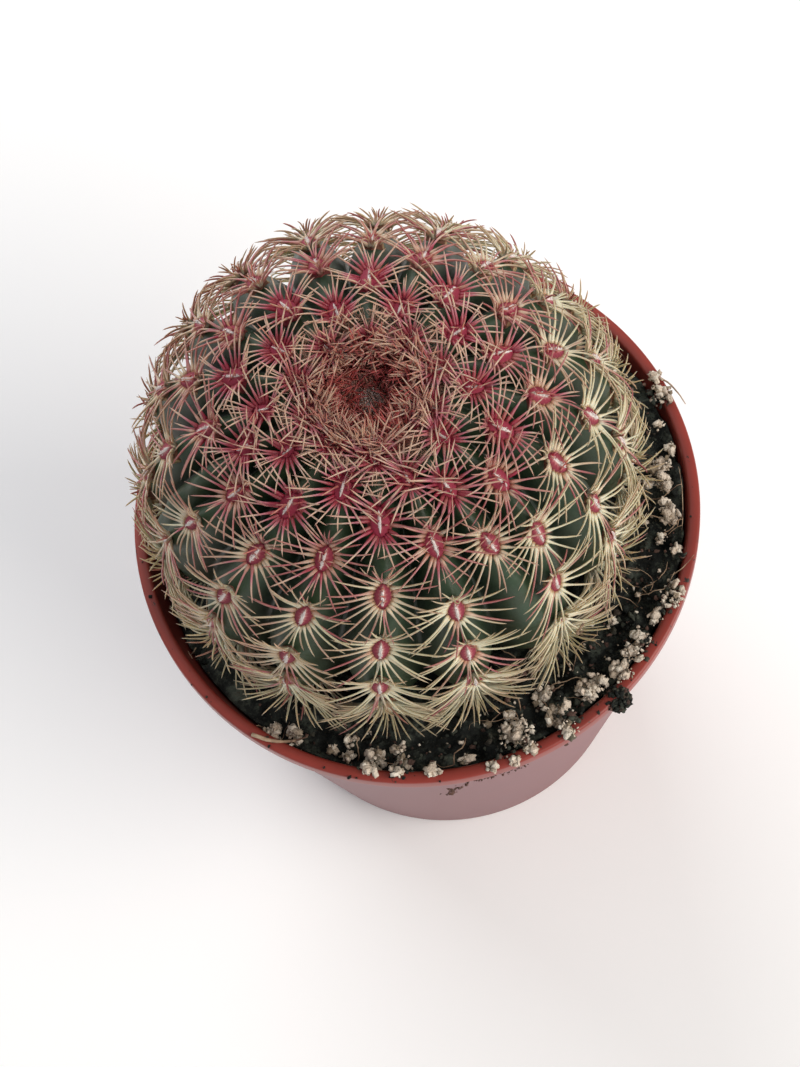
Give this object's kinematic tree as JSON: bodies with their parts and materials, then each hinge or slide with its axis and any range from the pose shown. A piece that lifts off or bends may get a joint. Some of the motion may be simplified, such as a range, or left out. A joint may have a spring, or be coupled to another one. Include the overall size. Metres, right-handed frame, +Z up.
{
  "type": "potted round cactus",
  "caption": "Ribbed, globe-shaped cactus with combed spines, rooted in gritty soil in a tapered plastic nursery pot.",
  "frame": {"origin": "middle of the pot's foot, on the surface it stands on", "axes": "+Z up along the pot's axis, -Y towards the front, +X to the right seen from the front"},
  "size_m": [0.085, 0.085, 0.1251],
  "materials": {
    "pot_plastic": "moulded, dusty terracotta plastic",
    "soil": "crumbly peat with pumice grit",
    "cactus": "waxy green skin with straw and crimson spines"
  },
  "bodies": {
    "root": {"pot": "pot_plastic", "soil": "soil", "cactus": "cactus"}
  },
  "joints": []
}
